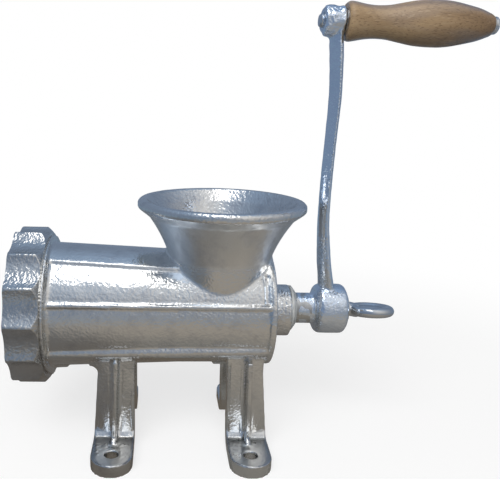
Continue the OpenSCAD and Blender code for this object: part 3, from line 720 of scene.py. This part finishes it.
def railMesh(values, side):
    # a round bead along the barrel's lower edge, with a round end at the rear
    (frontX, frontOut), (rearX, rearOut) = values["railFront"], values["railRear"]
    r, angle = values["railRadius"], math.radians(values["railAngle"])
    length = math.hypot(rearX - frontX, rearOut - frontOut)
    outline = [(0, 0), (0, r)] + arcPoints(length - r, 0, r, 90, 0, 8)
    mesh = turnedMesh(outline, 32, closed=False)
    tilt = Matrix.Rotation(math.atan2(frontOut - rearOut, rearX - frontX), 4, "Z")
    around = Matrix.Rotation(angle, 4, "X")
    mesh.transform(Matrix.Translation((frontX * mm, -(frontOut - r) * mm, 0)) @ tilt)
    mesh.transform(around)
    if side > 0:
        mesh.transform(Matrix.Scale(-1, 4, (0, 1, 0)))
        mesh.flip_normals()
    mesh.transform(Matrix.Translation((0, 0, axisHeight * mm)))
    return mesh


def leanLegs(place, values):
    # the plates lean in and are crowned, and the top of each foot falls towards its plate
    side, out, height = np.sign(place[:, 1]), np.abs(place[:, 1]), place[:, 2]
    root, tip, foot = values["footRoot"], values["footTip"], values["footHeight"]
    onPlate = smoothStep(out, *values["plateInner"])
    low = np.clip((values["leanTop"] - height) / (values["leanTop"] - foot), 0, 1) * onPlate
    fromRib = np.minimum(*[np.abs(place[:, 0] - middle) for middle in values["legMiddles"]])
    crowned = smoothFall(height, *values["crownTop"]) * smoothStep(height, *values["crownFoot"]) * onPlate
    beside = np.clip(fromRib - values["crownStart"], 0, values["crownReach"]) / values["crownWidth"]
    onFoot = smoothFall(height, *values["footRise"])
    fromTip = np.clip((tip - values["footLevel"] - out) / (tip - root), 0, 1)
    moved = place.copy()
    moved[:, 1] -= side * values["lean"] * low * (1 - smoothStep(out, root, tip - values["footPlain"]))
    moved[:, 1] -= side * values["crown"] * beside * crowned
    moved[:, 2] -= values["footFall"] * onFoot * fromTip * np.clip(height / foot, 0, 1)
    return moved


def openBore(place, values):
    # the softened skin leaves the bore at its full width
    x, y, z = place[:, 0], place[:, 1], place[:, 2] - axisHeight
    r, bore = np.hypot(y, z), values["boreRadius"]
    low, high = values["boreSpan"]
    inside = (r > bore - values["boreDepth"]) & (r < bore) & (x > low) & (x < high)
    grow = np.where(inside, bore / np.maximum(r, 1), 1)
    place[:, 1] = y * grow
    place[:, 2] = z * grow + axisHeight


def castingLayers(place, facing, values):
    # where the cast finish is finer, coarser, duller or flatter, and where painted shade darkens the
    # up-facing tops of the feet
    along, height = place[:, 0], place[:, 2]
    fromAxis = np.hypot(along - values["hopperX"], place[:, 1])
    outward = (along - values["hopperX"]) * facing[:, 0] + place[:, 1] * facing[:, 1]
    outside = smoothStep(outward / np.maximum(fromAxis, 1), *values["hopperFacing"])
    onHopper = smoothStep(height, *values["hopperFoot"]) * outside
    onHopper = onHopper * smoothFall(height, *values["hopperRim"])
    onFront = smoothStep(-along, *values["frontEdge"]) * smoothStep(height, *values["frontFoot"])
    onLegs = smoothFall(height, *values["legTop"]) * (1 - smoothFall(height, *values["legFoot"]))
    onFeet = smoothFall(height, *values["footTop"])
    # the up-facing tops of the feet get satin and also painted shade
    onTread = onFeet * smoothStep(facing[:, 2], *values["treadFacing"])
    onBoss = smoothStep(along, *values["bossFront"])
    finer = (1 - values["hopperFine"] * onHopper) * (1 - values["legFine"] * onLegs)
    satin = values["hopperSatin"] * onHopper + values["legSatin"] * onLegs + values["treadSatin"] * onTread
    return {
        "grain": finer * (1 + values["bossCoarse"] * onBoss) * (1 - values["frontFine"] * onFront),
        "satin": satin, "feet": onFeet, "paintedShade": onTread,
        "flat": values["flat"] * smoothFall(height, *values["flatTop"]),
    }


def buildCasting(values):
    rails = [railMesh(values, side) for side in (-1, 1)]
    mesh = castSkin("bodyCasting", [cadCopy("body_casting")] + rails, values)
    place = leanLegs(pointValues(mesh, "co") / mm, values)
    openBore(place, values)
    movePoints(mesh, place * mm)
    for name, amounts in castingLayers(place, pointValues(mesh, "normal"), values).items():
        storeLayer(mesh, name, amounts)
    finishPiece("bodyCasting", mesh, "casting", "grinder", "tinned_iron", "body_casting")


buildCasting(castingValues)


# mm along the barrel, mm out from its axis, and degrees
nutValues = {
    "crests": 14, "crestAngle": 3.0, "stepsPerCrest": 40,
    "crestRadius": 48.0, "valleyRadius": 44.4, "hollowRadius": 21.9,
    "front": -100.0, "rear": -80.8, "lip": 4.6, "outlet": 31.5, "bore": 41.8,
    "mouthChamfer": (1.5, 2.5),                          # inwards, and out from the outlet
    "faceEdges": (4, 6),                                 # in from the crests, and out from the outlet
    "rearRound": 0.7, "frontRound": 1.2, "crestStation": 9,
    "slope": 3.0, "fall": 3.0, "slopeStart": 0.3, "slopeSteps": 10, "slopePower": 1.15,
    "crispAngle": 28,
}


def outlineMesh(points):
    mesh = bpy.data.meshes.new("outline")
    mesh.from_pydata([(x * mm, 0, r * mm) for x, r in points], [], [])
    return mesh


def runNodes(name, mesh, build, inputs):
    # a tree with named inputs, run once on a mesh; returns the plain result
    tree = bpy.data.node_groups.new(name, "GeometryNodeTree")
    tree.interface.new_socket("Geometry", in_out="INPUT", socket_type="NodeSocketGeometry")
    tree.interface.new_socket("Geometry", in_out="OUTPUT", socket_type="NodeSocketGeometry")
    kinds = {int: "NodeSocketInt", float: "NodeSocketFloat", bpy.types.Material: "NodeSocketMaterial"}
    for label, value in inputs.items():
        tree.interface.new_socket(label, in_out="INPUT", socket_type=kinds[type(value)])
    graph = Graph(tree)
    entry = graph.node("NodeGroupInput")
    result = build(graph, entry)
    result = graph.node("GeometryNodeRealizeInstances", None, {"Geometry": result})
    inputsOfMaterial = {"Geometry": result, "Material": entry.other("Material")}
    result = graph.node("GeometryNodeSetMaterial", None, inputsOfMaterial)
    graph.node("NodeGroupOutput", None, {0: result})
    made = objectFrom(name + "Draft", mesh)
    modifier = made.modifiers.new(name, "NODES")
    modifier.node_group = tree
    for item in tree.interface.items_tree:
        if item.in_out == "INPUT" and item.name in inputs:
            modifier[item.identifier] = inputs[item.name]
    made.update_tag()
    return evaluated(made, name)


def nutTree(graph, entry):
    # the outline is turned around the axis, and round hollows are cut into it between the crests
    outline = entry.other("Geometry")
    stations = graph.node("GeometryNodeAttributeDomainSize", None, {"Geometry": outline}, "Point Count")
    steps = entry.other("Crests") * entry.other("Steps per crest")
    grid = graph.node("GeometryNodeMeshGrid", None, {"Vertices X": stations + 1, "Vertices Y": steps + 1})
    index = graph.node("GeometryNodeInputIndex")
    column = (index / (steps + 1)).math("FLOOR")
    row = index - column * (steps + 1)
    around = row / steps * (2 * math.pi)
    sample = graph.node("GeometryNodeSampleIndex", {"data_type": "FLOAT_VECTOR"}, {
        "Geometry": outline, "Value": graph.node("GeometryNodeInputPosition"),
        "Index": column.math("MODULO", stations),
    })
    parts = graph.split(sample)
    radius = parts.other("Z")
    pitch = 2 * math.pi / entry.other("Crests")
    fromMiddle = (around - entry.other("Crest angle")).math("FLOORED_MODULO", pitch) - pitch / 2
    reach = entry.other("Valley radius") + entry.other("Hollow radius")
    inside = entry.other("Hollow radius") ** 2 - (reach * fromMiddle.math("SINE")) ** 2
    hollow = reach * fromMiddle.math("COSINE") - inside.math("MAXIMUM", 0.0).math("SQRT")
    cut = radius.math("MINIMUM", hollow)
    point = graph.node("ShaderNodeCombineXYZ", None, {
        0: parts, 1: -(cut * around.math("COSINE")), 2: cut * around.math("SINE") + axisHeight * mm,
    })
    moved = graph.node("GeometryNodeSetPosition", None, {"Geometry": grid, "Position": point})
    return graph.node("GeometryNodeMergeByDistance", None, {"Geometry": moved, "Distance": 1e-6})


def sharpen(mesh, degrees):
    # faces point outwards, and edges above an angle stay crisp
    shape = bmesh.new()
    shape.from_mesh(mesh)
    bmesh.ops.dissolve_degenerate(shape, edges=shape.edges, dist=1e-8)
    bmesh.ops.recalc_face_normals(shape, faces=shape.faces)
    for edge in shape.edges:
        edge.smooth = len(edge.link_faces) != 2 or edge.calc_face_angle(0) < math.radians(degrees)
    for face in shape.faces:
        face.smooth = True
    shape.to_mesh(mesh)
    shape.free()
    return mesh


def nutOutline(values):
    front, rear, crest = values["front"], values["rear"], values["crestRadius"]
    outlet, bore, lip, fall = values["outlet"], values["bore"], values["lip"], values["fall"]
    inset, widen = values["mouthChamfer"]
    outer, inner = values["faceEdges"]
    rearRound, frontRound, steps = values["rearRound"], values["frontRound"], values["slopeSteps"]
    outline = [(front, outlet + widen), (front + inset, outlet), (front + lip, outlet)]
    outline += [(front + lip, bore), (rear, bore)]
    outline += arcPoints(rear - rearRound, crest - fall - rearRound, rearRound, 0, 45, 3)
    for i in range(1, steps + 1):
        x = rear - values["slopeStart"] - values["slope"] * i / steps
        outline.append((x, crest - fall * (1 - i / steps) ** values["slopePower"]))
    outline += [(front + values["crestStation"], crest)]
    outline += arcPoints(front + frontRound, crest - frontRound, frontRound, 90, 180, 4)
    return outline + [(front, crest - outer), (front, outlet + inner)]


def buildNut(values):
    mesh = runNodes("ringNut", outlineMesh(nutOutline(values)), nutTree, {
        "Crests": values["crests"], "Steps per crest": values["stepsPerCrest"],
        "Valley radius": values["valleyRadius"] * mm, "Hollow radius": values["hollowRadius"] * mm,
        "Crest angle": math.radians(values["crestAngle"]), "Material": finishes["nut"],
    })
    sharpen(mesh, values["crispAngle"])
    finishPiece("ringNut", mesh, "nut", "nut", "tinned_iron", "ring_nut")


buildNut(nutValues)
print("ring nut built")


# mm along X, out from the shaft or the grip's axis, or above the shaft
crankValues = {
    "hubFront": 82.2, "hubRear": 101.3, "hubRadius": 15.5, "hubFrontRound": 3.6, "hubRearRound": 3.4,
    "shaftHole": 8.95, "bushFace": 69.8, "bushGap": 0.4, "neckRadius": 9.6,
    "neckFillet": [(-1.6, 0.0), (-0.4, 0.6), (0.0, 1.8)],    # from the hub's front and the neck's radius
    "eyeFront": 73.8, "eyeRear": 85.8, "eyeRadius": 8.5, "eyeHole": 4.02,
    "eyeFrontRound": 1.5, "eyeRearRound": 1.0,
    # height above the shaft, middle along X, half thickness, half width
    "stations": [
        (4, 90.0, 5.4, 7.0), (14, 88.9, 4.8, 7.4), (22, 87.6, 4.3, 8.2), (30, 86.2, 4.0, 8.3),
        (37, 85.4, 3.8, 8.0), (56, 83.7, 3.2, 7.3), (80, 83.4, 3.1, 7.1), (103, 83.8, 3.1, 7.0),
        (128, 84.3, 3.35, 7.0), (149, 83.2, 3.7, 7.0), (160, 82.0, 4.0, 7.2), (167, 81.0, 4.3, 7.4),
    ],
    "sides": 28, "steps": 6, "flatPower": 1.25, "edgePower": 1.05, "bow": 0.34, "bowPower": 1.5,
    "voxel": 0.62, "rounds": 12, "triangles": 70000,
    "dentSize": 4.2, "dentDepth": 0.8, "armDents": 0.12, "dentLevel": 0.35,    # the eye is hammered
    # where the grain is coarser, and how much
    "grain": 0.8, "hubTop": (16, 22), "hubCoarse": 0.4, "eyeFoot": (-14, -8), "eyeCoarse": 1.3,
    "edgeFacing": (0.75, 0.95), "edgeFoot": (60, 90), "edgeCoarse": 1.8,
}


def armMesh(values):
    # rings along a smooth curve; the edges of the section bow towards the rear
    shape = bmesh.new()
    loops = []
    for height, middle, halfThick, halfWidth in smoothCurve(values["stations"], values["steps"]):
        loop = []
        for s in range(values["sides"]):
            a = 2 * math.pi * s / values["sides"]
            c, n = math.cos(a), math.sin(a)
            flat = (abs(c) ** values["flatPower"]) * math.copysign(1, c)
            edge = (abs(n) ** values["edgePower"]) * math.copysign(1, n)
            along = middle + halfThick * (flat + values["bow"] * abs(edge) ** values["bowPower"])
            loop.append(shape.verts.new((along * mm, halfWidth * edge * mm, (axisHeight + height) * mm)))
        loops.append(loop)
    for a, b in zip(loops, loops[1:]):
        for s in range(values["sides"]):
            t = (s + 1) % values["sides"]
            shape.faces.new((a[s], a[t], b[t], b[s]))
    shape.faces.new(loops[0])
    shape.faces.new(loops[-1])
    return meshFrom(shape, "arm")


def hubMesh(values):
    front, rear, r = values["hubFront"], values["hubRear"], values["hubRadius"]
    neck, hole, start = values["neckRadius"], values["shaftHole"], values["bushFace"] + values["bushGap"]
    frontRound, rearRound = values["hubFrontRound"], values["hubRearRound"]
    outline = [(start, hole), (start, neck)]
    outline += [(front + x, neck + out) for x, out in values["neckFillet"]]
    outline += arcPoints(front + frontRound, r - frontRound, frontRound, 180, 90, 6)
    outline += arcPoints(rear - rearRound, r - rearRound, rearRound, 90, 0, 5)
    return turnedMesh(outline + [(rear, hole)], 64, (0, 0, axisHeight))


def eyeMesh(values):
    front, rear, r = values["eyeFront"], values["eyeRear"], values["eyeRadius"]
    frontRound, rearRound = values["eyeFrontRound"], values["eyeRearRound"]
    outline = [(front, values["eyeHole"])]
    outline += arcPoints(front + frontRound, r - frontRound, frontRound, 180, 90, 4)
    outline += arcPoints(rear - rearRound, r - rearRound, rearRound, 90, 0, 3)
    return turnedMesh(outline + [(rear, values["eyeHole"])], 48, (0, 0, gripHeight))


def buildCrank(values):
    mesh = castSkin("crankArm", [hubMesh(values), armMesh(values), eyeMesh(values)], values)
    place, facing = pointValues(mesh, "co"), pointValues(mesh, "normal")
    height = place[:, 2] / mm
    eyeFoot, hubTop, edgeFoot = values["eyeFoot"], values["hubTop"], values["edgeFoot"]
    onEye = smoothStep(height, gripHeight + eyeFoot[0], gripHeight + eyeFoot[1])
    dents = np.array([noise.noise(Vector(p) / (values["dentSize"] * mm)) for p in place])
    depth = values["dentDepth"] * onEye + values["armDents"]
    depth = depth * np.minimum(dents - values["dentLevel"], 0) * mm
    movePoints(mesh, place + facing * depth[:, None])
    onHub = smoothFall(height, axisHeight + hubTop[0], axisHeight + hubTop[1])
    onEdge = smoothStep(-facing[:, 1], *values["edgeFacing"])
    onEdge = onEdge * smoothStep(height, axisHeight + edgeFoot[0], axisHeight + edgeFoot[1]) * (1 - onEye)
    coarse = values["hubCoarse"] * onHub + values["eyeCoarse"] * onEye + values["edgeCoarse"] * onEdge
    storeLayer(mesh, "grain", values["grain"] + coarse)
    finishPiece("crankArm", mesh, "crank", "drive", "tinned_iron", "crank_arm")


buildCrank(crankValues)


gripValues = {
    "front": 86.6, "length": 83.0, "hole": 4.1, "widest": 25.0, "crispAngle": 35,    # mm, degrees
    # share of the length, diameter in mm
    "outline": [
        (0.000, 19.0), (0.012, 20.6), (0.030, 21.4), (0.060, 20.8), (0.120, 18.9), (0.170, 17.9),
        (0.220, 17.6), (0.290, 18.3), (0.375, 20.9), (0.465, 23.6), (0.550, 24.8), (0.640, 25.0),
        (0.720, 23.8), (0.810, 20.9), (0.900, 17.4), (0.965, 13.4), (0.985, 12.0), (1.000, 10.2),
    ],
}


def buildGrip(values):
    start, length, hole = values["front"], values["length"], values["hole"]
    outline = [(start, hole)]
    for share, across in smoothCurve(values["outline"], 4):
        outline.append((start + share * length, min(across, values["widest"]) / 2))
    outline.append((start + length, hole))
    mesh = sharpen(turnedMesh(outline, 96, (0, 0, gripHeight)), values["crispAngle"])
    finishPiece("woodGrip", mesh, "beech", "grip", "beech", "wood_grip")


buildGrip(gripValues)


# the spade droops a little between two places along X, mm
thumbValues = {"voxel": 0.42, "rounds": 6, "triangles": 40000, "drop": 1.0, "dropSpan": (103.0, 110.0)}


def buildThumbScrew(values):
    mesh = castSkin("thumbScrew", [cadCopy("thumb_screw")], values)
    place = pointValues(mesh, "co")
    place[:, 2] -= values["drop"] * mm * smoothStep(place[:, 0] / mm, *values["dropSpan"])
    movePoints(mesh, place)
    finishPiece("thumbScrew", mesh, "chrome", "thumb_screw", "chrome", "thumb_screw")


buildThumbScrew(thumbValues)


# the nodes that keep their shape, and the finish of each
keptFinishes = {
    "rear_bush": "nylon", "thrust_washer": "fibre", "plate_pin": "steel", "auger_worm": "iron",
    "auger_shaft": "steel", "auger_pin": "steel", "knife_stud": "steel", "knife": "steel",
    "cutting_plate": "steel", "grip_spindle": "chrome", "grip_inner_washer": "steel",
    "grip_end_washer": "chrome", "thumb_washer": "steel",
}
for node, finish in keptFinishes.items():
    slots = nodes[node].material_slots
    if not slots:
        nodes[node].data.materials.append(finishes[finish])
    for slot in slots:
        slot.material = finishes[finish]
print("finishes assigned")
